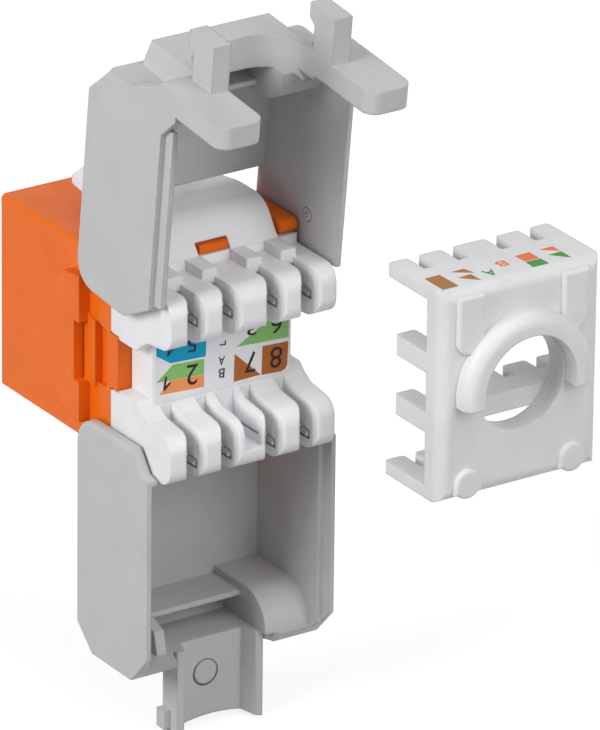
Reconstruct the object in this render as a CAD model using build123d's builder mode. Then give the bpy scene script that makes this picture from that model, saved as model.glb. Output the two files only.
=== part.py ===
from build123d import *
from math import cos, radians, sin
import os

# Keystone jack that needs no tool: a socket housing, a terminal block clipped into its back, two covers
# hinged on the housing that press the wires home, and the wire cap, which stands taken off beside it.
# X runs across the width, Y out of the socket's mouth and Z up. The origin is the middle of the mouth.

os.makedirs("parts", exist_ok=True)

# Housing
housing_width = 14.5
housing_height = 15.8
housing_length = 15.5
housing_edge = 0.4
rear_wall = 1.5
side_tab_height = 4.4
side_tab_reach = 1.0

# Socket for the plug, and the notch that its latch passes through
port_width = 11.9
port_height = 6.9
port_top = 4.0
latch_slot_width = 3.5
latch_slot_depth = 2.1
latch_room_width = 6.2
latch_room_depth = 1.7
latch_lip = 1.4
latch_room_length = 7.0

# Space behind the socket
contact_room_width = 10.2
contact_room_top = 5.45
contact_room_front = 3.6
rear_room_height = 13.0
rear_room_depth = 2.3

# Raised brackets on both sides, and the lug that hooks under a panel
bracket_rise = 1.0
bracket_front = 9.35
bracket_back = 12.6
bracket_half = 5.95
bracket_open_top = 2.15
bracket_open_low = -2.7
bracket_nose_top = 4.7
bracket_nose_low = 4.9
bracket_step_top = 3.25
bracket_step_low = 3.9
recess_depth = 0.5
recess_back = 14.9
rib_front = 12.1
rib_back = 13.6
rib_rise = 0.2
catch_width = 8.0
catch_drop = 1.3
catch_back = 8.9
catch_length = 2.7

# Hinges of the two covers
hinge_inset = 0.5
hinge_height = 7.45
hinge_boss_radius = 1.7
pin_radius = 0.75
pin_gap = 0.05
ear_top = 9.35
ear_thick = 1.15
ear_front = 12.5
ear_reach = 3.0

# Tongue of the housing that snaps into the window of the block's hood
snap_width = 2.5
snap_thick = 0.65
snap_reach = 2.75
snap_gap = 0.05
snap_front = 12.0

# Terminal block
block_plug = 1.15
block_fit = 0.1
row_top = 7.4
shoulder_top = 8.1
shoulder_length = 2.95
finger_length = 8.35
tip_radius = 1.4
waist_inset = 1.15
waist_length = 4.0
web_edge = 2.05
slot_inner = 1.95
slot_side = 2.25
slot_width = 0.95
slot_flare = 0.5
slot_flare_depth = 1.1
slot_floor = 4.1
slot_cap_width = 1.35
slot_cap_end = 5.25
groove_left = 0.7
groove_right = 1.0
groove_level = 5.8

# Hood of the block and the springy latch arm that carries on from it
hood_inset = 1.65
hood_top = 10.75
hood_thick = 1.1
hood_round = 2.6
arm_nose_width = 9.0
nose_top = 12.8
nose_back = 9.0
nose_tip = 5.6
window_gap = 0.15

# Covers, in the hinge's own axes: out from the back plate to the rim, and along from hinge to far end
cover_lean = 6.2
cover_gap = 0.25
cover_wall = 0.85
cover_back = 2.7
back_plate = 0.8
back_start = 4.2
cover_heel = 2.2
cover_reach = 16.75
lower_heel_front = 5.1
lower_knee = 6.45
upper_heel_front = 2.65
upper_knee = 4.4
cover_slope = 2.85
end_wall = 0.85
rim_gap = 0.05
lip_height = 0.95
lip_thick = 0.4
lip_gap = 0.08
cover_edge = 0.4

# Cable passage and strain relief at the covers' far ends
fork_half = 4.5
arch_floor = 3.1
arch_corner = 2.8
arch_cut_height = 20.0
collar_rise_along = 1.85
collar_half = 5.1
collar_foot = 5.9
collar_depth = 0.6
fork_ear_tip = 15.1
fork_ear_gap = 0.15
fork_ear_thick = 1.8
fork_ear_corner = 1.1
prong_width = 1.5
prong_back = 7.4
prong_front = 10.0
prong_reach = 5.6
prong_head = 1.2
prong_hook = 0.7
tongue_half = 3.85
tongue_floor = 2.6
tongue_thick = 0.65
tongue_flange = 2.0
tongue_reach = 6.15
tongue_scoop = 0.6
nub_rise = 0.55
nub_length = 1.5
guide_side = 3.6
guide_radius = 2.9
guide_front = 5.3
shelf_rise = 2.35
shelf_thick = 0.45
shelf_front = 1.8
jamb_thick = 0.9
jamb_front = 3.7

# Wire cap, which stands beside the jack
cap_x = 16.5
cap_back = 34.7
cap_side_gap = 0.05
cap_height = 17.0
cap_plate = 1.9
cap_corner = 1.0
cap_hole_radius = 3.9
collar_bore_radius = 4.1
collar_radius = 5.8
collar_rise = 1.5
collar_low = 0.9
pad_rise = 0.4
pad_width = 2.4
pad_place = 4.7
upper_pad_length = 3.6
lower_pad_length = 0.8
outer_band_length = 3.0
outer_tooth_length = 5.3
inner_band_length = 2.3
inner_tooth_length = 4.1
tooth_thick = 1.0
tooth_edge = 0.3
row_cut_radius = 4.3
inner_row_near = 1.6
inner_row_far = 3.2

# Board, contact carrier, contacts and label
board_thick = 1.0
board_side_gap = 0.1
board_height = 12.6
board_gap = 0.05
carrier_plate = 1.7
carrier_fit = 0.05
carrier_reach = 5.8
plug_pitch = 1.02
wire_width = 0.42
wire_thick = 0.3
wire_level = 4.75
wire_bend = 3.25
wire_end_gap = 1.2
wire_end_z = 2.1
groove_width = 0.52
groove_cut_length = 20.0
groove_cut_height = 2.0
blade_thick = 0.4
blade_width = 2.2
blade_turn = 45
blade_tip = 0.85
blade_slit = 0.28
blade_slit_depth = 3.0
blade_shoulder = 1.3
blade_level = 5.7
blade_tail = 0.9
blade_fit = 0.05
label_thick = 0.08
label_margin = 0.1
label_height = 4.8

# Places that follow from the sizes above
half_width = housing_width / 2
half_height = housing_height / 2
back_y = -housing_length
inner_side = half_width - rear_wall
slot_outer = half_width - slot_side
waist_width = 2 * (half_width - waist_inset)
hood_width = 2 * (half_width - hood_inset)
cap_width = 2 * (half_width - cap_side_gap)
board_width = 2 * (inner_side - board_side_gap)
label_width = waist_width - 2 * label_margin
hinge_y = back_y + hinge_inset
shoulder_y = back_y - shoulder_length
waist_y = back_y - waist_length
slot_floor_y = back_y - slot_floor
tip_y = back_y - finger_length
board_back_y = back_y + block_plug + board_gap
board_front_y = board_back_y + board_thick
rear_room_y = back_y + rear_room_depth
blade_shoulder_y = back_y - blade_shoulder
ear_end_y = back_y - ear_reach
cover_inner = half_width + cover_gap
cover_outer = cover_inner + cover_wall
rim = hinge_height - rim_gap
cap_front_y = -cap_back + cap_plate
inner_back = -cover_back + back_plate
inner_end = cover_reach - end_wall
guide_start = inner_end - guide_radius
shelf_start = inner_end - shelf_rise
fork_ear_low = cover_reach + fork_ear_gap
fork_ear_high = fork_ear_low + fork_ear_thick
collar_top = cover_reach + collar_rise_along
prong_top = fork_ear_low + prong_reach
tongue_end = fork_ear_low + tongue_reach
carrier_back_y = rear_room_y
carrier_front_y = carrier_back_y + carrier_plate
carrier_nose_y = carrier_front_y + carrier_reach
wire_end_y = carrier_front_y + wire_end_gap
slot_places = [-slot_outer, -slot_inner, slot_inner, slot_outer]


# Socket housing
with BuildPart() as keystone_housing:
    with BuildSketch(Plane.XZ):
        RectangleRounded(housing_width, housing_height, housing_edge)
    extrude(amount=housing_length)

    # the socket, and the room behind it for the board and the block's plug
    with BuildSketch(Plane.XZ):
        with Locations((0, port_top - port_height / 2)):
            Rectangle(port_width, port_height)
    extrude(amount=-rear_room_y, mode=Mode.SUBTRACT)
    with BuildSketch(Plane.XZ.offset(contact_room_front)):
        with Locations((0, port_top)):
            Rectangle(contact_room_width, contact_room_top - port_top, align=(Align.CENTER, Align.MIN))
    extrude(amount=-rear_room_y - contact_room_front, mode=Mode.SUBTRACT)
    with BuildSketch(Plane.XZ.offset(-rear_room_y)):
        Rectangle(2 * inner_side, rear_room_height)
    extrude(amount=rear_room_depth, mode=Mode.SUBTRACT)

    # the latch notch: narrow at the mouth, wide behind it where the plug's hooks spread
    notch_top = port_top - port_height
    with BuildSketch(Plane.XZ):
        with Locations((0, notch_top)):
            Rectangle(latch_slot_width, latch_slot_depth, align=(Align.CENTER, Align.MAX))
    extrude(amount=latch_lip + latch_room_length, mode=Mode.SUBTRACT)
    with BuildSketch(Plane.XZ.offset(latch_lip)):
        with Locations((0, notch_top)):
            Rectangle(latch_room_width, latch_room_depth, align=(Align.CENTER, Align.MAX))
    extrude(amount=latch_room_length, mode=Mode.SUBTRACT)

    # tabs of the side walls that reach back over the block's waist
    for side in (1, -1):
        with Locations((side * (half_width - rear_wall / 2), back_y - side_tab_reach / 2 + 0.1, 0)):
            Box(rear_wall, side_tab_reach + 0.2, side_tab_height)

    # raised bracket: two flares joined by an upright bar, open towards the back between the flares
    with BuildSketch(Plane.YZ.offset(half_width - 0.1)):
        Polygon(
            (-bracket_front, bracket_step_top),
            (-bracket_front, bracket_nose_top),
            (-bracket_front - 0.95, bracket_half - 0.3),
            (-bracket_back, bracket_half),
            (-bracket_back, bracket_open_top),
            (-bracket_back + 0.7, bracket_open_top),
            (-bracket_back + 0.7, bracket_open_low),
            (-bracket_back, bracket_open_low),
            (-bracket_back, -bracket_half),
            (-bracket_front - 0.95, -bracket_half + 0.3),
            (-bracket_front, -bracket_nose_low),
            (-bracket_front, -bracket_step_low),
            (-bracket_front - 1.25, -3.0),
            (-bracket_front - 1.25, 3.1),
        )
    bracket = extrude(amount=bracket_rise + 0.1)
    mirror(bracket, about=Plane.YZ)

    # recess behind the bracket, with a low upright rib in it
    with BuildSketch(Plane.YZ.offset(half_width - recess_depth)):
        Polygon(
            (-bracket_back + 0.7, bracket_open_top),
            (-bracket_back - 0.1, bracket_open_top + 0.6),
            (-recess_back, bracket_open_top),
            (-recess_back, bracket_open_low + 0.3),
            (-bracket_back + 0.7, bracket_open_low),
        )
    recess = extrude(amount=recess_depth + 0.05, mode=Mode.SUBTRACT)
    mirror(recess, about=Plane.YZ, mode=Mode.SUBTRACT)
    with BuildSketch(Plane.YZ.offset(half_width - recess_depth - 0.1)):
        Polygon(
            (-rib_front, bracket_open_low - 0.1),
            (-rib_front, bracket_open_top + 0.3),
            (-bracket_back, bracket_open_top + 0.7),
            (-rib_back, bracket_open_top + 0.3),
            (-rib_back, bracket_open_low - 0.1),
        )
    rib = extrude(amount=recess_depth + 0.1 + rib_rise)
    mirror(rib, about=Plane.YZ)

    # hinge lugs: a boss round the hinge pin, and an ear that reaches back over the block's shoulder
    ear_low = ear_top - ear_thick
    ear_round_y = ear_end_y + ear_thick / 2
    with BuildSketch(Plane.YZ.offset(inner_side)):
        with Locations((hinge_y, hinge_height)):
            Circle(hinge_boss_radius)
        with BuildLine():
            Polyline(
                (ear_round_y, ear_low),
                (hinge_y - 1.2, ear_low),
                (hinge_y, half_height - 0.5),
                (-ear_front, half_height - 0.5),
                (-ear_front, ear_top),
                (ear_round_y, ear_top),
            )
            ThreePointArc(
                (ear_round_y, ear_top),
                (ear_end_y, (ear_top + ear_low) / 2),
                (ear_round_y, ear_low),
            )
        make_face()
    lug = extrude(amount=rear_wall)
    low_lug = mirror(lug, about=Plane.XY)
    mirror(lug, about=Plane.YZ)
    mirror(low_lug, about=Plane.YZ)
    pin_places = [(x, hinge_y, z) for x in (inner_side + rear_wall / 2, -inner_side - rear_wall / 2)
                  for z in (hinge_height, -hinge_height)]
    with Locations(*pin_places):
        Cylinder(pin_radius + pin_gap, rear_wall + 0.1, rotation=(0, 90, 0), mode=Mode.SUBTRACT)

    # tongue that snaps into the window of the block's hood
    with BuildSketch(Plane.YZ.offset(-snap_width / 2)):
        Polygon(
            (-snap_front, half_height - 0.3),
            (-snap_front - 0.8, shoulder_top + snap_gap + snap_thick),
            (back_y - snap_reach, shoulder_top + snap_gap + snap_thick),
            (back_y - snap_reach, shoulder_top + snap_gap),
            (back_y, shoulder_top + snap_gap),
            (back_y, half_height - 0.3),
        )
    extrude(amount=snap_width)

    # lug under the housing that hooks behind a panel's edge
    with BuildSketch(Plane.YZ.offset(-catch_width / 2)):
        Polygon(
            (-catch_back, -half_height + 0.2),
            (-catch_back, -half_height - catch_drop),
            (-catch_back + 0.6, -half_height - catch_drop),
            (-catch_back + catch_length, -half_height + 0.2),
        )
    extrude(amount=catch_width)

keystone_housing.part.label = "keystone_housing"
export_step(keystone_housing.part, "parts/keystone_housing.step")


# Terminal block: two rows of fingers on a narrower waist, with the hood and latch arm on top
with BuildPart() as terminal_block:
    # the upper row seen from the side, as wide as the housing
    with BuildSketch(Plane.YZ.offset(-half_width)) as row_side:
        Polygon(
            (back_y, web_edge + 0.35),
            (back_y - 1.3, web_edge),
            (waist_y + 0.5, web_edge),
            (waist_y - 0.2, web_edge + 0.6),
            (waist_y - 1.1, web_edge + 1.15),
            (tip_y, web_edge + 1.55),
            (tip_y, row_top),
            (shoulder_y, row_top),
            (shoulder_y, shoulder_top),
            (back_y, shoulder_top),
        )
        fillet(row_side.vertices().group_by(Axis.X)[0], tip_radius)
    extrude(amount=housing_width)

    # wire slots with flared mouths
    with BuildSketch(Plane.XY.offset(web_edge - 0.5)):
        half_slot = slot_width / 2
        right_side = [
            (half_slot, slot_floor_y),
            (half_slot, tip_y + slot_flare_depth),
            (half_slot + 0.2 * slot_flare, tip_y + 0.5 * slot_flare_depth),
            (half_slot + 0.6 * slot_flare, tip_y + 0.15 * slot_flare_depth),
            (half_slot + 1.2 * slot_flare, tip_y - 0.1),
        ]
        for place in slot_places:
            right = [(place + x, y) for x, y in right_side]
            left = [(place - x, y) for x, y in reversed(right_side)]
            Polygon(*right, *left)
    extrude(amount=shoulder_top - web_edge + 1, mode=Mode.SUBTRACT)

    # raised cap that bridges the inner end of each slot
    with BuildSketch(Plane.XY.offset(row_top - 0.5)):
        for place in slot_places:
            with Locations((place, (shoulder_y + back_y - slot_cap_end) / 2)):
                Rectangle(slot_cap_width, shoulder_y - back_y + slot_cap_end)
    extrude(amount=shoulder_top - row_top + 0.5)

    # room for the housing's hinge bosses
    with BuildSketch(Plane.YZ.offset(inner_side - block_fit)):
        with Locations((hinge_y, hinge_height)):
            Circle(hinge_boss_radius + block_fit)
    relief = extrude(amount=rear_wall + 2 * block_fit, mode=Mode.SUBTRACT)
    mirror(relief, about=Plane.YZ, mode=Mode.SUBTRACT)

    # the lower row is the same upside down
    mirror(about=Plane.XY)

    # groove in the lower row's middle finger
    with BuildSketch(Plane.XY.offset(-groove_level)):
        Polygon(
            (-groove_left, slot_floor_y),
            (groove_right, slot_floor_y),
            (groove_right, tip_y - 0.1),
            (-groove_left, tip_y - 0.1),
        )
    extrude(amount=groove_level, mode=Mode.SUBTRACT)

    # waist that carries the label, and the plug that sits in the housing's back
    with Locations((0, (back_y + waist_y) / 2, 0)):
        Box(waist_width, waist_length, 2 * web_edge + 2)
    with Locations((0, back_y + block_plug / 2 - 0.1, 0)):
        Box(2 * (inner_side - block_fit), block_plug + 0.2, rear_room_height - 2 * block_fit)

    # pockets that the forked terminals are pushed into, turned half way between flat and upright
    pocket_start_y = blade_shoulder_y + blade_fit
    pocket_end_y = tip_y + blade_tip - blade_fit
    blade_centres = [(place, side * blade_level) for side in (1, -1) for place in slot_places]
    with BuildSketch(Plane.XZ.offset(-pocket_start_y)):
        with Locations(*blade_centres):
            Rectangle(blade_width + 2 * blade_fit, blade_thick + 2 * blade_fit, rotation=-blade_turn)
    extrude(amount=pocket_start_y - pocket_end_y, mode=Mode.SUBTRACT)
    with BuildSketch(Plane.XZ.offset(-pocket_start_y)):
        with Locations(*blade_centres):
            Rectangle(blade_tail + 2 * blade_fit, blade_thick + 2 * blade_fit, rotation=-blade_turn)
    extrude(amount=pocket_start_y - back_y - block_plug, mode=Mode.SUBTRACT)
    for side in (1, -1):
        with Locations((side * (half_width - rear_wall / 2), back_y - side_tab_reach / 2, 0)):
            Box(rear_wall + 2 * block_fit, side_tab_reach + 2 * block_fit, side_tab_height + 2 * block_fit,
                mode=Mode.SUBTRACT)

    # hood over the shoulder and the springy arm, which ends in the nose that snaps behind a panel
    with BuildSketch(Plane.YZ.offset(-hood_width / 2)) as hood_side:
        Polygon(
            (shoulder_y - 0.15, row_top - 0.2),
            (shoulder_y - 0.15, row_top + 0.2),
            (shoulder_y + 0.05, shoulder_top),
            (back_y - 1.0, hood_top),
            (-nose_back, hood_top),
            (-nose_back, nose_top),
            (-nose_back + 0.9, nose_top),
            (-nose_tip, hood_top + 0.1),
            (-nose_tip, hood_top - hood_thick + 0.5),
            (-nose_back, hood_top - hood_thick),
            (back_y - 0.4, hood_top - hood_thick),
            (back_y - 1.5, shoulder_top - 0.2),
        )
        fillet(hood_side.vertices().sort_by_distance((back_y - 1.0, hood_top))[0], hood_round)
    extrude(amount=hood_width)
    with BuildSketch(Plane.XY.offset(shoulder_top + 0.6)):
        for side in (1, -1):
            Polygon(
                (side * hood_width / 2, back_y + 2.5),
                (side * arm_nose_width / 2, -nose_back),
                (side * arm_nose_width / 2, 0),
                (side * hood_width, 0),
                (side * hood_width, back_y + 2.5),
            )
    extrude(amount=nose_top, mode=Mode.SUBTRACT)
    window_low = shoulder_top
    window_high = shoulder_top + snap_gap + snap_thick + window_gap
    with Locations((0, back_y - 1.9, (window_low + window_high) / 2)):
        Box(snap_width + 2 * window_gap, 2.6, window_high - window_low, mode=Mode.SUBTRACT)

terminal_block.part.label = "terminal_block"
export_step(terminal_block.part, "parts/terminal_block.step")


def cover_frame(lean):
    """Side view of a cover that points up: out from its back plate first, then along it from the hinge."""
    outward = (0, -cos(radians(lean)), -sin(radians(lean)))
    return Plane(origin=(0, hinge_y, hinge_height), x_dir=outward, z_dir=(-1, 0, 0))


def across(frame, along):
    """Cross section of a cover at a distance from the hinge: across the width first, then outward."""
    centre = frame.from_local_coords((0, along, 0))
    return Plane(origin=centre, x_dir=(1, 0, 0), z_dir=-frame.y_dir)


def outer_edges(edges, frame):
    """The long edges of a cover's back plate and of the slope at its far end."""
    def on_corner(edge):
        middle = frame.to_local_coords(edge.center())
        on_side = abs(abs(middle.Z) - cover_outer) < 0.01
        on_back = middle.X < -cover_back + 1.2 and middle.Y > 0
        return on_side and on_back
    return edges.filter_by(on_corner)


def hollow_cover(frame):
    """The room inside a cover, open towards the rim, and its two hinge pins."""
    with BuildSketch(frame.offset(-cover_inner)) as room:
        Polygon(
            (-cover_back - 1, -cover_heel - 1),
            (rim + 1, -cover_heel - 1),
            (rim + 1, inner_end),
            (inner_back + 1.5, inner_end),
            (inner_back, inner_end - 1.5),
            (inner_back, back_start),
            (-cover_back - 1, back_start),
        )
    extrude(room.sketch, amount=2 * cover_inner, mode=Mode.SUBTRACT)
    pin_length = cover_gap + rear_wall - 0.2
    for side in (1, -1):
        with Locations((side * (cover_inner - pin_length / 2 + 0.1), hinge_y, hinge_height)):
            Cylinder(pin_radius, pin_length + 0.2, rotation=(0, 90, 0))


def cable_arch(frame):
    """The gap in the end wall that the cable leaves through, which also parts the fork."""
    with BuildSketch(across(frame, cover_reach - end_wall - 0.5)) as gap:
        with Locations((0, arch_floor)):
            Rectangle(2 * fork_half, arch_cut_height, align=(Align.CENTER, Align.MIN))
        fillet(gap.vertices().group_by(Axis.Y)[0], arch_corner)
    extrude(gap.sketch, amount=-(collar_top - cover_reach + end_wall + 1), mode=Mode.SUBTRACT)


def cable_guide(frame):
    """The rounded corner block that leads the cable to the middle, on the right side only."""
    with BuildSketch(frame.offset(-cover_inner - 0.1)) as guide_side_view:
        with BuildLine():
            Polyline(
                (guide_front - guide_radius, guide_start),
                (inner_back - 0.1, guide_start),
                (inner_back - 0.1, inner_end - 1.5),
                (inner_back + 1.5, inner_end + 0.1),
                (guide_front, inner_end + 0.1),
                (guide_front, guide_start + guide_radius),
            )
            slant = guide_radius * (1 - sin(radians(45)))
            ThreePointArc(
                (guide_front, guide_start + guide_radius),
                (guide_front - slant, guide_start + slant),
                (guide_front - guide_radius, guide_start),
            )
        make_face()
    extrude(guide_side_view.sketch, amount=cover_inner + 0.1 - guide_side)


def cable_shelf(frame):
    """The shelf between the left wall and the guide block."""
    with BuildSketch(frame.offset(-guide_side - 0.1)) as shelf_side:
        with Locations((inner_back - 0.1, shelf_start)):
            Rectangle(shelf_front - inner_back + 0.1, shelf_thick, align=(Align.MIN, Align.MIN))
    extrude(shelf_side.sketch, amount=guide_side + 0.1 + cover_inner + 0.1)


# Upper cover, leaning a little towards the terminals, with the fork of the strain relief
upper = cover_frame(cover_lean)
with BuildPart() as upper_cover:
    with BuildSketch(upper.offset(-cover_outer)) as upper_side:
        Polygon(
            (-cover_back, -cover_heel),
            (upper_heel_front, -cover_heel),
            (upper_knee, -cover_heel + 0.4),
            (rim, 0.1),
            (rim, cover_reach - 1.4),
            (rim - 1.9, cover_reach),
            (0.1, cover_reach),
            (-0.75, cover_reach - 0.95),
            (-cover_back, cover_reach - cover_slope),
        )
        fillet(upper_side.vertices().sort_by_distance((-cover_back, -cover_heel))[0], cover_heel)
    extrude(amount=2 * cover_outer)
    fillet(outer_edges(upper_cover.edges(), upper), cover_edge)
    hollow_cover(upper)

    # lip inside the rim, which overlaps the lower cover's wall
    lip_end = cover_reach - end_wall - 0.8
    for side in (1, -1):
        high_x = max(side * cover_inner, side * (cover_inner + lip_thick))
        with BuildSketch(upper.offset(-high_x)):
            Polygon((rim - 0.5, 0.3), (rim + lip_height, 0.5), (rim + lip_height, lip_end), (rim - 0.5, lip_end))
        extrude(amount=lip_thick)

    # collar round the cable passage
    collar_back = upper.from_local_coords((collar_depth, 0, 0))
    with BuildSketch(Plane(origin=collar_back, x_dir=(1, 0, 0), z_dir=upper.x_dir)):
        Polygon(
            (-collar_foot, cover_reach - 0.2),
            (-collar_half, collar_top),
            (collar_half, collar_top),
            (collar_foot, cover_reach - 0.2),
        )
    extrude(amount=rim + 0.4 - collar_depth)

    # two ears that embrace the lower cover's end when the covers are shut
    with BuildSketch(across(upper, fork_ear_low)) as ears:
        for side in (1, -1):
            with Locations((side * (fork_half + cover_outer) / 2, (rim - 0.6 + fork_ear_tip) / 2)):
                Rectangle(cover_outer - fork_half, fork_ear_tip - rim + 0.6)
        fillet(ears.vertices().group_by(Axis.Y)[-1], fork_ear_corner)
    extrude(amount=-fork_ear_thick)
    for side in (1, -1):
        high_x = max(side * (cover_outer - cover_wall), side * cover_outer)
        with BuildSketch(upper.offset(-high_x)):
            Polygon(
                (2.9, cover_reach - 0.3),
                (2.9, cover_reach),
                (rim, fork_ear_high),
                (rim + 1.7, fork_ear_high),
                (rim + 1.7, cover_reach - 0.3),
                (rim + 0.1, cover_reach - 2),
                (rim - 0.3, cover_reach - 2),
            )
        extrude(amount=cover_wall)

    cable_arch(upper)
    cable_guide(upper)
    cable_shelf(upper)

    # prongs that the cable tie goes round, with hooks that keep it on
    for side in (1, -1):
        outer_x = side * (fork_half + prong_width)
        high_x = max(outer_x, side * fork_half)
        with BuildSketch(upper.offset(-high_x)):
            Polygon(
                (prong_front, fork_ear_high - 0.2),
                (prong_front, prong_top),
                (prong_back - prong_hook, prong_top),
                (prong_back - prong_hook, prong_top - prong_head),
                (prong_back, prong_top - prong_head - 0.5),
                (prong_back, fork_ear_high - 0.2),
            )
        extrude(amount=prong_width)

upper_cover.part.label = "upper_cover"
export_step(upper_cover.part, "parts/upper_cover.step")


# Lower cover, shown hanging straight down, with the tongue of the strain relief
upright = cover_frame(0)
with BuildPart() as lower_cover:
    with BuildSketch(upright.offset(-cover_outer)) as lower_side:
        Polygon(
            (-cover_back, -cover_heel),
            (lower_heel_front, -cover_heel),
            (lower_knee, -0.5),
            (rim, -0.3),
            (rim, cover_reach - 2.4),
            (rim - 2.2, cover_reach),
            (-0.3, cover_reach),
            (-cover_back, cover_reach - 2.2),
        )
        fillet(lower_side.vertices().sort_by_distance((-cover_back, -cover_heel))[0], cover_heel)
    extrude(amount=2 * cover_outer)
    fillet(outer_edges(lower_cover.edges(), upright), cover_edge)
    hollow_cover(upright)

    # step inside the rim for the upper cover's lip
    step_floor = rim - lip_height - 2 * rim_gap
    for side in (1, -1):
        low_x = cover_inner - 0.2
        high_x = cover_inner + lip_thick + lip_gap
        with BuildSketch(upright.offset(-max(side * low_x, side * high_x))):
            Polygon(
                (step_floor, 0.1),
                (rim + 1, 0.1),
                (rim + 1, cover_reach - 0.4),
                (step_floor, cover_reach - 0.4),
            )
        extrude(amount=high_x - low_x, mode=Mode.SUBTRACT)

    cable_arch(upright)
    cable_guide(upright)
    cable_shelf(upright)

    # jamb that stands under the shelf on the left
    with BuildSketch(upright.offset(fork_half)):
        Polygon(
            (inner_back - 0.1, shelf_start),
            (shelf_front, shelf_start),
            (jamb_front, shelf_start + 0.6),
            (jamb_front + 0.5, inner_end + 0.1),
            (inner_back + 1.5, inner_end + 0.1),
            (inner_back - 0.1, inner_end - 1.5),
        )
    extrude(amount=jamb_thick)

    # tongue that the cable is tied to: a shallow trough with a nub on each flange
    tongue_start = cover_reach - end_wall
    with BuildSketch(across(upright, tongue_start)):
        with BuildLine():
            Polyline(
                (-tongue_half, tongue_floor + tongue_flange),
                (-tongue_half, tongue_floor),
                (tongue_half, tongue_floor),
                (tongue_half, tongue_floor + tongue_flange),
                (tongue_half - tongue_thick, tongue_floor + tongue_flange),
                (tongue_half - tongue_thick - 0.5, tongue_floor + tongue_thick),
                (-tongue_half + tongue_thick + 0.5, tongue_floor + tongue_thick),
                (-tongue_half + tongue_thick, tongue_floor + tongue_flange),
                close=True,
            )
        make_face()
    extrude(amount=-(tongue_end - tongue_start))
    for side in (1, -1):
        with BuildSketch(upright.offset(-max(side * (tongue_half - 0.1), side * (tongue_half + nub_rise)))):
            with Locations((tongue_floor, tongue_end - 0.5)):
                Rectangle(1.1, nub_length, align=(Align.MIN, Align.MAX))
        extrude(amount=nub_rise + 0.1)
    scoop_radius = tongue_half ** 2 / (2 * tongue_scoop) + tongue_scoop / 2
    scoop_height = hinge_height + tongue_end - tongue_scoop + scoop_radius
    with Locations((0, hinge_y - tongue_floor - 1, scoop_height)):
        Cylinder(scoop_radius, 4, rotation=(90, 0, 0), mode=Mode.SUBTRACT)

    # turned over, so that it hangs from the lower hinge
    mirror(about=Plane.XY, mode=Mode.REPLACE)

lower_cover.part.label = "lower_cover"
export_step(lower_cover.part, "parts/lower_cover.step")


# Wire cap: a plate with a cable hole and four rows of teeth that fit round and between the fingers
with BuildPart() as wire_cap:
    cap_rear = Plane(origin=(cap_x, -cap_back, 0), x_dir=(1, 0, 0), z_dir=(0, -1, 0))
    with BuildSketch(cap_rear.offset(-cap_plate)):
        Rectangle(cap_width, cap_height)
    extrude(amount=cap_plate)
    fillet(wire_cap.faces().sort_by(Axis.Y)[0].edges(), cap_corner)

    # a raised pad in each corner, round at its inner end
    with BuildSketch(cap_rear.offset(-cap_corner)):
        for side in (1, -1):
            pad_edge = cap_height / 2 - cap_corner / 2
            with Locations((side * pad_place, pad_edge - upper_pad_length)):
                Rectangle(pad_width, upper_pad_length, align=(Align.CENTER, Align.MIN))
                Circle(pad_width / 2)
            with Locations((side * pad_place, lower_pad_length - pad_edge)):
                Rectangle(pad_width, lower_pad_length, align=(Align.CENTER, Align.MAX))
                Circle(pad_width / 2)
    extrude(amount=cap_corner + pad_rise)
    fillet(wire_cap.edges().group_by(Axis.Y)[0], pad_rise - 0.1)

    # half collar over the cable hole, with a soft outer edge
    with BuildSketch(cap_rear):
        Circle(collar_radius)
        with Locations((0, -collar_low)):
            Rectangle(2 * collar_radius, collar_radius, align=(Align.CENTER, Align.MAX), mode=Mode.SUBTRACT)
    extrude(amount=collar_rise)
    fillet(wire_cap.edges().group_by(Axis.Y)[0].filter_by(GeomType.CIRCLE), collar_rise - 0.5)
    with BuildSketch(cap_rear.offset(collar_rise)):
        Circle(collar_bore_radius)
    extrude(amount=-collar_rise, mode=Mode.SUBTRACT)
    with BuildSketch(cap_rear):
        Circle(cap_hole_radius)
    extrude(amount=-cap_plate, mode=Mode.SUBTRACT)

    # four rows of teeth, which grow from solid bands and have gaps where the block has its wire slots
    cap_half = cap_height / 2
    tooth_edges = [
        (-cap_width / 2, -slot_outer - slot_width / 2),
        (-slot_outer + slot_width / 2, -slot_inner - slot_width / 2),
        (-slot_inner + slot_width / 2, slot_inner - slot_width / 2),
        (slot_inner + slot_width / 2, slot_outer - slot_width / 2),
        (slot_outer + slot_width / 2, cap_width / 2),
    ]
    row_middle = (inner_row_near + inner_row_far) / 2
    row_thick = inner_row_far - inner_row_near
    tooth_rows = [
        (cap_half - tooth_thick / 2, tooth_thick, outer_band_length, outer_tooth_length),
        (row_middle, row_thick, inner_band_length, inner_tooth_length),
        (-row_middle, row_thick, inner_band_length, inner_tooth_length),
        (-cap_half + tooth_thick / 2, tooth_thick, outer_band_length, outer_tooth_length),
    ]
    for level, thick, band, length in tooth_rows:
        with BuildSketch(Plane.XY.offset(level - thick / 2)) as row:
            with Locations((cap_x, cap_front_y)):
                Rectangle(cap_width, band, align=(Align.CENTER, Align.MIN))
            for low, high in tooth_edges:
                with Locations((cap_x + (low + high) / 2, cap_front_y)):
                    Rectangle(high - low, length, align=(Align.CENTER, Align.MIN))
            fillet(row.vertices().group_by(Axis.Y)[-1], tooth_edge)
        extrude(amount=thick)
        if level == row_middle:
            with BuildSketch(cap_rear.offset(-cap_plate)):
                Circle(row_cut_radius)
            extrude(amount=-length - 0.1, mode=Mode.SUBTRACT)

wire_cap.part.label = "wire_cap"
export_step(wire_cap.part, "parts/wire_cap.step")


# Printed label on the waist
with BuildPart() as colour_code_label:
    with BuildSketch(Plane.XZ.offset(-waist_y)):
        Rectangle(label_width, label_height)
    extrude(amount=label_thick)

colour_code_label.part.label = "colour_code_label"
export_step(colour_code_label.part, "parts/colour_code_label.step")


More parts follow.
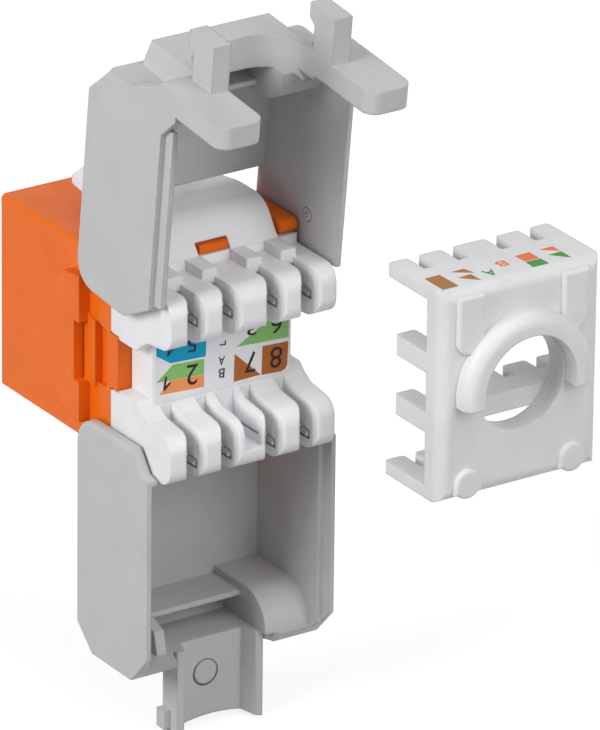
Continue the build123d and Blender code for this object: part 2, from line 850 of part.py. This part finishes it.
# Circuit board that joins the forked terminals to the plug contacts
plug_places = [(number - 3.5) * plug_pitch for number in range(8)]
with BuildPart() as circuit_board:
    with BuildSketch(Plane.XZ.offset(-board_front_y)):
        Rectangle(board_width, board_height)
        tail_holes = [(x, side * blade_level) for x in slot_places for side in (1, -1)]
        with Locations(*tail_holes):
            Rectangle(blade_tail + 2 * blade_fit, blade_thick + 2 * blade_fit, rotation=-blade_turn,
                      mode=Mode.SUBTRACT)
        with Locations(*[(x, wire_level) for x in plug_places]):
            Rectangle(wire_width + 2 * blade_fit, wire_thick + 2 * blade_fit, mode=Mode.SUBTRACT)
    extrude(amount=board_thick)

circuit_board.part.label = "circuit_board"
export_step(circuit_board.part, "parts/circuit_board.step")


# Carrier that closes the back of the socket and guides the plug contacts
groove_floor = wire_level - wire_thick / 2 - carrier_fit
with BuildPart() as contact_carrier:
    with Locations((0, (carrier_back_y + carrier_front_y) / 2, port_top - port_height / 2)):
        Box(port_width - 2 * carrier_fit, carrier_plate, port_height - 2 * carrier_fit)
    shelf_half = contact_room_width / 2 - carrier_fit
    with BuildSketch(Plane.YZ.offset(-shelf_half)):
        Polygon(
            (carrier_back_y, contact_room_top - carrier_fit),
            (carrier_nose_y - 0.5, contact_room_top - carrier_fit),
            (carrier_nose_y, groove_floor + 0.2),
            (carrier_nose_y, groove_floor - 0.05),
            (carrier_nose_y - 1.05, port_top + carrier_fit),
            (carrier_front_y, port_top + carrier_fit),
            (carrier_front_y, port_top - 1),
            (carrier_back_y, port_top - 1),
        )
    extrude(amount=2 * shelf_half)
    for place in plug_places:
        with Locations((place, (carrier_back_y + carrier_nose_y) / 2, groove_floor + groove_cut_height / 2)):
            Box(groove_width, groove_cut_length, groove_cut_height, mode=Mode.SUBTRACT)

contact_carrier.part.label = "contact_carrier"
export_step(contact_carrier.part, "parts/contact_carrier.step")


# Plug contacts: each a gilt wire that comes forward over the shelf and springs back down into the socket
for number, place in enumerate(plug_places, start=1):
    with BuildPart() as plug_contact:
        with BuildLine(Plane.YZ.offset(place)):
            wire_path = FilletPolyline(
                (board_back_y + 0.2, wire_level),
                (-wire_bend, wire_level),
                (wire_end_y, wire_end_z),
                radius=0.35,
            )
        with BuildSketch(Plane(origin=wire_path @ 0, x_dir=(1, 0, 0), z_dir=wire_path % 0)):
            Rectangle(wire_width, wire_thick)
        sweep()
    plug_contact.part.label = f"plug_contact_{number}"
    export_step(plug_contact.part, f"parts/plug_contact_{number}.step")


# Forked terminals: each cuts through a wire's jacket between its prongs, and its tail crosses the board
blade_end_y = tip_y + blade_tip
for number in range(8):
    level = blade_level if number < 4 else -blade_level
    place = slot_places[number % 4]
    with BuildPart() as idc_contact:
        # the terminal's own plane: across the blade first, then along Y, with the blade's face turned
        blade_plane = Plane(
            origin=(place, 0, level),
            x_dir=(cos(radians(blade_turn)), 0, -sin(radians(blade_turn))),
            z_dir=(sin(radians(blade_turn)), 0, cos(radians(blade_turn))),
        )
        with BuildSketch(blade_plane.offset(-blade_thick / 2)):
            half_blade = blade_width / 2
            half_slit = blade_slit / 2
            Polygon(
                (-half_blade, blade_shoulder_y),
                (-blade_tail / 2, blade_shoulder_y),
                (-blade_tail / 2, board_front_y),
                (blade_tail / 2, board_front_y),
                (blade_tail / 2, blade_shoulder_y),
                (half_blade, blade_shoulder_y),
                (half_blade, blade_end_y + 0.4),
                (half_blade - 0.3, blade_end_y),
                (half_slit + 0.3, blade_end_y),
                (half_slit, blade_end_y + 0.6),
                (half_slit, blade_end_y + blade_slit_depth),
                (-half_slit, blade_end_y + blade_slit_depth),
                (-half_slit, blade_end_y + 0.6),
                (-half_slit - 0.3, blade_end_y),
                (-half_blade + 0.3, blade_end_y),
                (-half_blade, blade_end_y + 0.4),
            )
        extrude(amount=blade_thick)
    idc_contact.part.label = f"idc_contact_{number + 1}"
    export_step(idc_contact.part, f"parts/idc_contact_{number + 1}.step")
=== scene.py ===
from math import cos, pi, radians, sin

import bmesh
import bpy
from mathutils import Matrix, Vector


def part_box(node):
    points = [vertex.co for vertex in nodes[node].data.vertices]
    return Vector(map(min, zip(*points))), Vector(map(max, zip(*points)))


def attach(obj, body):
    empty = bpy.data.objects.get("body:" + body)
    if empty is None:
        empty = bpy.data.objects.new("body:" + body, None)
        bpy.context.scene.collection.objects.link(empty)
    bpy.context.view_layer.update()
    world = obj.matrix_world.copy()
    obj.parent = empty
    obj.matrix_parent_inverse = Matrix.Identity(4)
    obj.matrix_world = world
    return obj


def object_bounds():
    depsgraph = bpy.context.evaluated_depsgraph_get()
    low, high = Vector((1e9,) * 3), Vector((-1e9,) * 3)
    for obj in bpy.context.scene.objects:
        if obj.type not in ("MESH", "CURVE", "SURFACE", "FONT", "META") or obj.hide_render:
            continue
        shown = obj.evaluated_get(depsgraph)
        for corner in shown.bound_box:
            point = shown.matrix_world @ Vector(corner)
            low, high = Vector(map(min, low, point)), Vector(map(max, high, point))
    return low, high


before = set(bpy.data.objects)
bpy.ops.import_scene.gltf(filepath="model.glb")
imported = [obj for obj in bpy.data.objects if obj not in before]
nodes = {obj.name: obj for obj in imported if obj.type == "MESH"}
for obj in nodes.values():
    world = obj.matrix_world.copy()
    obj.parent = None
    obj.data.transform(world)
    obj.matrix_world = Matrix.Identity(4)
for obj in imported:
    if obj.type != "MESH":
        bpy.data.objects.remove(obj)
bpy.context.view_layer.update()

# Socket housing
# The housing takes the plug and snaps into a panel. It is one shot of orange ABS from a spark-eroded mould,
# so its faces are half glossy with a fine grain, and every edge carries the small round of the mould.
MM = 0.001


def linear(code):
    """A colour written as sRGB hex, turned to the linear values that shaders work in."""
    levels = [int(code[place:place + 2], 16) / 255 for place in (1, 3, 5)]
    return [v / 12.92 if v <= 0.04045 else ((v + 0.055) / 1.055) ** 2.4 for v in levels] + [1.0]


def add(tree, kind, inputs=(), **settings):
    """One node with its settings; an input is given either a value or the socket that feeds it."""
    node = tree.nodes.new(kind)
    for name, value in settings.items():
        setattr(node, name, value)
    for name, value in dict(inputs).items():
        if isinstance(value, bpy.types.NodeSocket):
            tree.links.new(value, node.inputs[name])
        else:
            node.inputs[name].default_value = value
    return node


def new_finish(name):
    """An empty material: its tree, its shader and the piece's own coordinates."""
    material = bpy.data.materials.new(name)
    material.use_nodes = True
    tree = material.node_tree
    shader = tree.nodes["Principled BSDF"]
    place = add(tree, "ShaderNodeTexCoord").outputs["Object"]
    return material, tree, shader, place


# A Mix node's sockets for its share, its two colours and their blend
SHARE = 0
FIRST = 6
SECOND = 7
BLEND = 2


def moulded_plastic(name, colour, shade, gloss, glow=0.0, edge=0.14):
    """Moulded plastic: the pigment clouds by a few percent over millimetres where the melt has flowed, and
    the mould's spark-eroded grain breaks up the shine. The real grain is a few hundredths of a millimetre
    and is drawn coarser, so that it shows. The edge is the mould's round, in millimetres."""
    cloud_size = 3.85 * MM
    worn_patch = 1.43 * MM
    grain_size = 0.154 * MM
    grain_depth = 0.006 * MM
    glow_depth = 0.6 * MM
    material, tree, shader, place = new_finish(name)
    flow = add(tree, "ShaderNodeTexNoise",
               {"Vector": place, "Scale": 1 / cloud_size, "Detail": 3.0, "Roughness": 0.55})
    cloud = add(tree, "ShaderNodeMapRange",
                {"Value": flow.outputs["Fac"], "From Min": 0.35, "From Max": 0.7})
    tint = add(tree, "ShaderNodeMix",
               {SHARE: cloud.outputs["Result"], FIRST: linear(colour), SECOND: linear(shade)},
               data_type="RGBA")
    tree.links.new(tint.outputs[BLEND], shader.inputs["Base Color"])
    wear = add(tree, "ShaderNodeTexNoise", {"Vector": place, "Scale": 1 / worn_patch, "Detail": 2.0})
    dull = add(tree, "ShaderNodeMapRange",
               {"Value": wear.outputs["Fac"], "From Min": 0.3, "From Max": 0.7,
                "To Min": gloss - 0.05, "To Max": gloss + 0.06})
    tree.links.new(dull.outputs["Result"], shader.inputs["Roughness"])
    round_edge = add(tree, "ShaderNodeBevel", {"Radius": edge * MM}, samples=6)
    grain = add(tree, "ShaderNodeTexNoise",
                {"Vector": place, "Scale": 1 / grain_size, "Detail": 4.0, "Roughness": 0.6})
    relief = add(tree, "ShaderNodeBump",
                 {"Height": grain.outputs["Fac"], "Strength": 0.35, "Distance": grain_depth,
                  "Normal": round_edge.outputs["Normal"]})
    tree.links.new(relief.outputs["Normal"], shader.inputs["Normal"])
    shader.inputs["IOR"].default_value = 1.52
    shader.inputs["Specular IOR Level"].default_value = 0.22
    if glow:
        shader.inputs["Subsurface Weight"].default_value = glow
        shader.inputs["Subsurface Radius"].default_value = (1.0, 0.9, 0.85)
        shader.inputs["Subsurface Scale"].default_value = glow_depth
    return material


def dress(node, material):
    """Gives a piece of the frame its finish in every slot it has."""
    for slot in nodes[node].material_slots:
        slot.material = material


orange_abs = moulded_plastic("orange moulded ABS", "#F0700F", "#EB690B", 0.40)
dress("keystone_housing", orange_abs)

# Terminal block and wire cap
# The block's fingers and hood are a white flame-retardant polycarbonate. Light soaks a little way into it, so
# its thin tips and round corners look soft. The loose wire cap is a milkier grade of it, a shade greyer.
white_pc = moulded_plastic("white moulded polycarbonate", "#F0F0F2", "#EAEAEC", 0.36, glow=0.1, edge=0.20)
dress("terminal_block", white_pc)
milky_pc = moulded_plastic("milky moulded polycarbonate", "#E4E4E6", "#DEDEE0", 0.38, glow=0.15, edge=0.20)
dress("wire_cap", milky_pc)

# Covers
# Both covers and their strain relief are light grey ABS from the same kind of mould as the housing. They
# are handled most, so their shine is a touch duller.
grey_abs = moulded_plastic("light grey moulded ABS", "#C4C4C5", "#BFBFC0", 0.42, edge=0.22)
dress("upper_cover", grey_abs)
dress("lower_cover", grey_abs)

# Forked terminals
# The blades are stamped from phosphor bronze strip and tin plated, which gives a soft grey shine. The
# rolling leaves faint lines along the blade, drawn wider than the real ones so that they show.
line_width = 0.111 * MM
line_depth = 0.004 * MM
line_stretch = 0.08
tin, tin_tree, tin_shader, tin_place = new_finish("tin-plated bronze")
along = add(tin_tree, "ShaderNodeMapping", {"Vector": tin_place, "Scale": (1.0, line_stretch, 1.0)})
rolled = add(tin_tree, "ShaderNodeTexNoise",
             {"Vector": along.outputs["Vector"], "Scale": 1 / line_width, "Detail": 3.0})
tin_dull = add(tin_tree, "ShaderNodeMapRange",
               {"Value": rolled.outputs["Fac"], "To Min": 0.22, "To Max": 0.42})
tin_tree.links.new(tin_dull.outputs["Result"], tin_shader.inputs["Roughness"])
tin_relief = add(tin_tree, "ShaderNodeBump",
                 {"Height": rolled.outputs["Fac"], "Strength": 0.3, "Distance": line_depth})
tin_tree.links.new(tin_relief.outputs["Normal"], tin_shader.inputs["Normal"])
tin_shader.inputs["Base Color"].default_value = linear("#A3A19D")
tin_shader.inputs["Metallic"].default_value = 1.0
for number in range(1, 9):
    dress(f"idc_contact_{number}", tin)

# Plug contacts
# The spring wires in the socket are drawn from bronze and plated with gold over nickel. The drawing leaves
# fine marks that dull the gold here and there.
drawing_mark = 0.2 * MM
gold, gold_tree, gold_shader, gold_place = new_finish("gold-plated spring wire")
drawn = add(gold_tree, "ShaderNodeTexNoise", {"Vector": gold_place, "Scale": 1 / drawing_mark, "Detail": 2.0})
gold_dull = add(gold_tree, "ShaderNodeMapRange",
                {"Value": drawn.outputs["Fac"], "To Min": 0.14, "To Max": 0.28})
gold_tree.links.new(gold_dull.outputs["Result"], gold_shader.inputs["Roughness"])
gold_shader.inputs["Base Color"].default_value = linear("#E9C272")
gold_shader.inputs["Metallic"].default_value = 1.0
for number in range(1, 9):
    dress(f"plug_contact_{number}", gold)

# Contact carrier
# The block that guides the plug contacts is moulded from black glass-filled polyester. The glass near its
# skin makes it duller than the other plastics.
carrier_polyester = moulded_plastic("black glass-filled polyester", "#1B1B1D", "#232326", 0.55)
dress("contact_carrier", carrier_polyester)

# Circuit board
# The board that joins the two sets of contacts is glass-fibre laminate under green lacquer. The cloth's
# threads show faintly through the lacquer as slanting bands. An unscaled wave repeats over wave_length.
thread_pitch = 0.7 * MM
wave_length = 2 * pi / 10
board, board_tree, board_shader, board_place = new_finish("green lacquered laminate")
weave = add(board_tree, "ShaderNodeTexWave",
            {"Vector": board_place, "Scale": wave_length / thread_pitch, "Distortion": 1.5},
            bands_direction="DIAGONAL")
board_tint = add(board_tree, "ShaderNodeMix",
                 {SHARE: weave.outputs["Fac"], FIRST: linear("#1F6B3C"), SECOND: linear("#267544")},
                 data_type="RGBA")
board_tree.links.new(board_tint.outputs[BLEND], board_shader.inputs["Base Color"])
board_shader.inputs["Roughness"].default_value = 0.3
dress("circuit_board", board)

# Label and its print
# A white vinyl label lies on the waist between the finger rows. It is screen printed with the colour code
# of the wires: fields of colour with numbers, upside down and turned a few degrees where it was stuck on.
vinyl_speck = 0.333 * MM
vinyl, vinyl_tree, vinyl_shader, vinyl_place = new_finish("white vinyl label")
speckle = add(vinyl_tree, "ShaderNodeTexNoise",
              {"Vector": vinyl_place, "Scale": 1 / vinyl_speck, "Detail": 3.0})
vinyl_tint = add(vinyl_tree, "ShaderNodeMix",
                 {SHARE: speckle.outputs["Fac"], FIRST: linear("#F0F0F3"), SECOND: linear("#E8E8EC")},
                 data_type="RGBA")
vinyl_tree.links.new(vinyl_tint.outputs[BLEND], vinyl_shader.inputs["Base Color"])
vinyl_shader.inputs["Roughness"].default_value = 0.5
vinyl_shader.inputs["Specular IOR Level"].default_value = 0.25
dress("colour_code_label", vinyl)


def ink(name, colour):
    """Screen-printed ink: flat colour with a faint mottle, because the squeegee never covers evenly. Where
    it lies thin, the colour is weaker and a little of the white under it shows."""
    mottle_size = 0.25 * MM
    cover = 0.92
    white_showing = 0.02
    material, tree, shader, place = new_finish(name)
    mottle = add(tree, "ShaderNodeTexNoise",
                 {"Vector": place, "Scale": 1 / mottle_size, "Detail": 3.0, "Roughness": 0.7})
    thin = [channel * cover + white_showing for channel in linear(colour)[:3]] + [1.0]
    tint = add(tree, "ShaderNodeMix",
               {SHARE: mottle.outputs["Fac"], FIRST: linear(colour), SECOND: thin}, data_type="RGBA")
    tree.links.new(tint.outputs[BLEND], shader.inputs["Base Color"])
    shader.inputs["Roughness"].default_value = 0.5
    shader.inputs["Specular IOR Level"].default_value = 0.15
    return material


def finish_piece(shape, name, material, body):
    """Closes a bmesh into a named piece that rides on a body."""
    bmesh.ops.recalc_face_normals(shape, faces=shape.faces)
    mesh = bpy.data.meshes.new(name)
    shape.to_mesh(mesh)
    shape.free()
    mesh.materials.append(material)
    piece = bpy.data.objects.new(name, mesh)
    bpy.context.scene.collection.objects.link(piece)
    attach(piece, body)


# How far print stands up, in millimetres: a flat field, and a character that lies over it
FIELD_INK = 0.012
CHARACTER_INK = 0.03


def field_of_ink(name, corners, surface, material, thickness=FIELD_INK):
    """A flat patch of ink. Its corners are millimetres on the surface, which its matrix sets on the part."""
    shape = bmesh.new()
    rim = [shape.verts.new((x * MM, y * MM, 0)) for x, y in corners]
    patch = shape.faces.new(rim)
    raised = bmesh.ops.extrude_face_region(shape, geom=[patch])
    risen = [item for item in raised["geom"] if isinstance(item, bmesh.types.BMVert)]
    bmesh.ops.translate(shape, verts=risen, vec=(0, 0, thickness * MM))
    bmesh.ops.transform(shape, matrix=surface, verts=shape.verts)
    finish_piece(shape, name, material, "jack")


def character(name, glyph, low, high, surface, material, turn):
    """A printed character, fitted into a box of millimetres on the surface and turned about its middle."""
    line = bpy.data.curves.new(name + "-line", "FONT")
    line.body = glyph
    line.fill_mode = "BOTH"
    line.extrude = 0.5
    writer = bpy.data.objects.new(name + "-line", line)
    bpy.context.scene.collection.objects.link(writer)
    bpy.context.view_layer.update()
    flat = bpy.data.meshes.new_from_object(writer)
    bpy.data.objects.remove(writer)
    shape = bmesh.new()
    shape.from_mesh(flat)
    bmesh.ops.remove_doubles(shape, verts=shape.verts, dist=0.0001)
    across = [vert.co.x for vert in shape.verts]
    upright = [vert.co.y for vert in shape.verts]
    middle = Vector(((min(across) + max(across)) / 2, (min(upright) + max(upright)) / 2, 0))
    wide = (high[0] - low[0]) / (max(across) - min(across))
    tall = (high[1] - low[1]) / (max(upright) - min(upright))
    centre = Vector(((low[0] + high[0]) / 2, (low[1] + high[1]) / 2, CHARACTER_INK / 2))
    fit = (Matrix.Scale(MM, 4) @ Matrix.Translation(centre) @ Matrix.Rotation(radians(turn), 4, "Z")
           @ Matrix.Diagonal((wide, tall, CHARACTER_INK, 1)) @ Matrix.Translation(-middle))
    bmesh.ops.transform(shape, matrix=surface @ fit, verts=shape.verts)
    finish_piece(shape, name, material, "jack")


label_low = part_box("colour_code_label")[0]
label_face = Matrix(((1, 0, 0, 0), (0, 0, -1, label_low[1]), (0, 1, 0, 0), (0, 0, 0, 1)))
label_turn = 176
blue_ink = ink("blue print", "#009FC8")
green_ink = ink("light green print", "#8CC472")
orange_ink = ink("light orange print", "#F79B5C")
brown_ink = ink("brown print", "#B4672A")
dark_ink = ink("dark print", "#2B211E")
label_fields = (
    ("print-blue", blue_ink, [(-5.85, 2.35), (-5.85, 1.5), (-4.62, 0.66), (-1.5, 0.5), (-1.44, 2.2)]),
    ("print-green-left", green_ink, [(-4.4, 0.5), (-5.85, -0.66), (-1.64, -0.92), (-1.64, 0.34)]),
    ("print-orange-left", orange_ink, [(-4.65, -0.76), (-5.6, -1.7), (-1.63, -1.94), (-1.64, -0.95)]),
    ("print-brown-triangle", brown_ink, [(1.06, 0.11), (1.0, -2.16), (3.4, -2.12)]),
    ("print-brown-square", brown_ink,
     [(3.54, 0.16), (3.46, -2.17), (5.2, -2.27), (5.55, -2.16), (5.76, -1.86), (5.84, 0.05)]),
    ("print-green-right", green_ink, [(1.22, 0.64), (5.86, 0.38), (5.86, 2.3), (4.4, 2.36)]),
)
for name, colour, corners in label_fields:
    field_of_ink(name, corners, label_face, colour)
figure_one = [(-5.08, -0.33), (-4.91, -0.33), (-5.03, -1.12), (-4.68, -0.84), (-4.58, -0.98),
              (-5.1, -1.42), (-5.25, -1.42)]
field_of_ink("digit-1", figure_one, label_face, dark_ink, CHARACTER_INK)
label_characters = (
    ("digit-2", "2", (-3.2, -1.52), (-2.2, 0.12)),
    ("digit-7", "7", (2.0, -1.7), (2.95, -0.04)),
    ("digit-8", "8", (4.24, -1.86), (5.28, -0.18)),
    ("digit-6", "6", (4.28, 0.94), (5.24, 2.3)),
    ("digit-3", "3", (2.16, 1.28), (3.02, 2.34)),
    ("digit-5", "5", (-3.1, 1.15), (-2.25, 2.32)),
    ("digit-4", "4", (-5.0, 1.25), (-4.2, 2.34)),
    ("letter-A", "A", (-0.38, -0.5), (0.18, 0.16)),
    ("letter-B", "B", (-0.36, -1.56), (0.16, -0.82)),
)
for name, glyph, low, high in label_characters:
    character(name, glyph, low, high, label_face, dark_ink, label_turn)
corner_stroke = [(-0.27, 1.08), (0.24, 1.04), (0.27, 1.38), (0.18, 1.38), (0.15, 1.14), (-0.27, 1.18)]
field_of_ink("corner-mark", corner_stroke, label_face, dark_ink, CHARACTER_INK)

# Print on the wire cap
# The cap's upper edge is pad printed with the same code for both wiring orders: brown, orange and green
# shapes, and the letters that name the orders.
cap_low, cap_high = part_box("wire_cap")
cap_middle = (cap_low[0] + cap_high[0]) / 2
cap_face = Matrix(((1, 0, 0, cap_middle), (0, 1, 0, 0), (0, 0, 1, cap_high[2]), (0, 0, 0, 1)))
cap_turn = 180
cap_brown = ink("brown cap print", "#A9743F")
cap_green = ink("green cap print", "#45953A")
cap_orange = ink("orange cap print", "#EF7A4A")
cap_fields = (
    ("cap-brown-field", cap_brown, [(-6.55, -33.85), (-5.15, -33.85), (-5.2, -31.4), (-6.55, -31.43)]),
    ("cap-brown-upper", cap_brown, [(-4.23, -31.45), (-2.75, -32.45), (-3.06, -31.4)]),
    ("cap-brown-lower", cap_brown, [(-4.36, -32.6), (-3.11, -33.85), (-3.17, -32.5)]),
    ("cap-orange-square", cap_orange, [(1.5, -31.45), (1.6, -32.68), (2.85, -32.7), (2.87, -31.37)]),
    ("cap-green-square", cap_green, [(1.55, -32.8), (1.5, -33.85), (2.92, -33.85), (2.88, -32.8)]),
    ("cap-orange-triangle", cap_orange, [(3.73, -31.43), (4.95, -32.35), (4.95, -31.35)]),
    ("cap-green-triangle", cap_green, [(3.77, -32.56), (4.95, -33.85), (4.98, -32.52)]),
)
for name, colour, corners in cap_fields:
    field_of_ink(name, corners, cap_face, colour)
character("cap-letter-A", "A", (-2.25, -33.6), (-1.35, -32.55), cap_face, cap_green, cap_turn)
character("cap-letter-B", "B", (-0.55, -32.55), (0.3, -31.65), cap_face, cap_orange, cap_turn)

# Marks of the mould on the covers
# The ejector pin that pushed the lower cover out of its mould left a faint disc on the tongue. A small round
# pip with a dot in its middle stands inside the upper cover's right wall.


def round_mark(name, place, outward, radius, height, body):
    """A low disc with a sloped rim, standing on a face that looks outward. Sizes are in millimetres."""
    rim_slope = 0.18
    shape = bmesh.new()
    bmesh.ops.create_cone(shape, cap_ends=True, segments=48, radius1=radius * MM,
                          radius2=(radius - rim_slope) * MM, depth=height * MM)
    stand = Vector(outward).to_track_quat("Z", "Y").to_matrix().to_4x4()
    seat = Matrix.Translation(Vector(place) * MM) @ stand @ Matrix.Translation((0, 0, height / 2 * MM))
    bmesh.ops.transform(shape, matrix=seat, verts=shape.verts)
    finish_piece(shape, name, grey_abs, body)


tongue_face = -18.25
wall_face = 7.5
pip_depth = -19.45
pip_level = 9.9
pip_height = 0.08
to_the_back = (0, -1, 0)
to_the_left = (-1, 0, 0)
round_mark("ejector-mark", (-0.45, tongue_face, -26.3), to_the_back, 1.13, 0.02, "lower")
round_mark("pip", (wall_face, pip_depth, pip_level), to_the_left, 0.6, pip_height, "upper")
round_mark("pip-middle", (wall_face - pip_height, pip_depth, pip_level), to_the_left, 0.22, 0.06, "upper")

# Table
# A sheet of white paper lies just under the part. To the camera and in the shine it glows a little below
# white, and the lamps' light on it makes up the rest, so that the part's soft shadow still shows.
sheet_reach = 2.5
floor_gap = 0.05 * MM
floor_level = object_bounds()[0][2] - floor_gap
paper_glow = 0.76
white = linear("#FFFFFF")
sheet = bmesh.new()
bmesh.ops.create_grid(sheet, x_segments=1, y_segments=1, size=sheet_reach)
bmesh.ops.translate(sheet, verts=sheet.verts, vec=(0, 0, floor_level))
floor_mesh = bpy.data.meshes.new("floor")
sheet.to_mesh(floor_mesh)
sheet.free()
floor = bpy.data.objects.new("floor", floor_mesh)
bpy.context.scene.collection.objects.link(floor)
paper = bpy.data.materials.new("white paper sweep")
paper.use_nodes = True
paper_tree = paper.node_tree
paper_shader = paper_tree.nodes["Principled BSDF"]
paper_shader.inputs["Base Color"].default_value = linear("#A0A0A0")
paper_shader.inputs["Roughness"].default_value = 0.9
paper_ray = add(paper_tree, "ShaderNodeLightPath")
paper_seen = add(paper_tree, "ShaderNodeMath",
                 {0: paper_ray.outputs["Is Camera Ray"], 1: paper_ray.outputs["Is Glossy Ray"]},
                 operation="MAXIMUM")
paper_level = add(paper_tree, "ShaderNodeMath", {0: paper_seen.outputs[0], 1: paper_glow},
                  operation="MULTIPLY")
paper_shader.inputs["Emission Color"].default_value = white
paper_tree.links.new(paper_level.outputs[0], paper_shader.inputs["Emission Strength"])
floor_mesh.materials.append(paper)

# Room
# The room round the part is white to the camera and in the shine. It lights the part only dimly, so that
# the lamps give it its shape.
room_light = 0.20
world = bpy.data.worlds.new("studio")
bpy.context.scene.world = world
world.use_nodes = True
sky = world.node_tree
room = sky.nodes["Background"]
sky_ray = add(sky, "ShaderNodeLightPath")
sky_seen = add(sky, "ShaderNodeMath",
               {0: sky_ray.outputs["Is Camera Ray"], 1: sky_ray.outputs["Is Glossy Ray"]},
               operation="MAXIMUM")
sky_level = add(sky, "ShaderNodeMapRange",
                {"Value": sky_seen.outputs[0], "To Min": room_light, "To Max": 1.0})
sky.links.new(sky_level.outputs["Result"], room.inputs["Strength"])
room.inputs["Color"].default_value = white

# Lamps
# Four soft boxes: one on the left for the left walls, one overhead for the tops, one in front for the label
# and the insides of the covers, and one behind for the mouth's side, which leaves no shine of its own.
lamp_aim = Vector((0, -15, 0)) * MM


def soft_box(name, place, size, watts, shine=True):
    """A square lamp that looks at the middle of the part. Its place and size are in millimetres."""
    lamp = bpy.data.lights.new(name, "AREA")
    lamp.shape = "SQUARE"
    lamp.size = size * MM
    lamp.energy = watts
    holder = bpy.data.objects.new(name, lamp)
    bpy.context.scene.collection.objects.link(holder)
    stand = Vector(place) * MM
    facing = (lamp_aim - stand).to_track_quat("-Z", "Y")
    holder.matrix_world = Matrix.LocRotScale(stand, facing, None)
    holder.visible_glossy = shine


soft_box("side", (-400, -60, 200), 220, 1.40)
soft_box("top", (22.5, -195, 410), 300, 0.52)
soft_box("front", (80, -363, 168), 250, 0.57)
soft_box("mouth", (300, 400, 160), 300, 0.50, shine=False)

# Camera
# A long lens, fitted to the photograph by the housing's width. It stands to the left of the covers and above
# them. The part's origin, the middle of the mouth, falls left of the picture's middle and above it.
picture_width = 600
picture_height = 730
origin_across = 82.9
origin_down = 270.3
focal_pixels = 9082.0
distance = 690.7 * MM
film_width = 36
azimuth = radians(-33.59)
elevation = radians(23.74)
roll = radians(0.70)
back = Vector((sin(azimuth) * cos(elevation), -cos(azimuth) * cos(elevation), sin(elevation)))
level = Vector((cos(azimuth), sin(azimuth), 0))
above = back.cross(level)
right = level * cos(roll) + above * sin(roll)
up = above * cos(roll) - level * sin(roll)
pixel = distance / focal_pixels
eye = (back * distance + right * (picture_width / 2 - origin_across) * pixel
       + up * (origin_down - picture_height / 2) * pixel)
lens = bpy.data.cameras.new("camera")
lens.sensor_fit = "HORIZONTAL"
lens.sensor_width = film_width
lens.lens = focal_pixels / picture_width * film_width
camera = bpy.data.objects.new("camera", lens)
camera.matrix_world = Matrix.Translation(eye) @ Matrix((right, up, back)).transposed().to_4x4()
bpy.context.scene.collection.objects.link(camera)
bpy.context.scene.camera = camera
bpy.context.scene.view_settings.view_transform = "Standard"
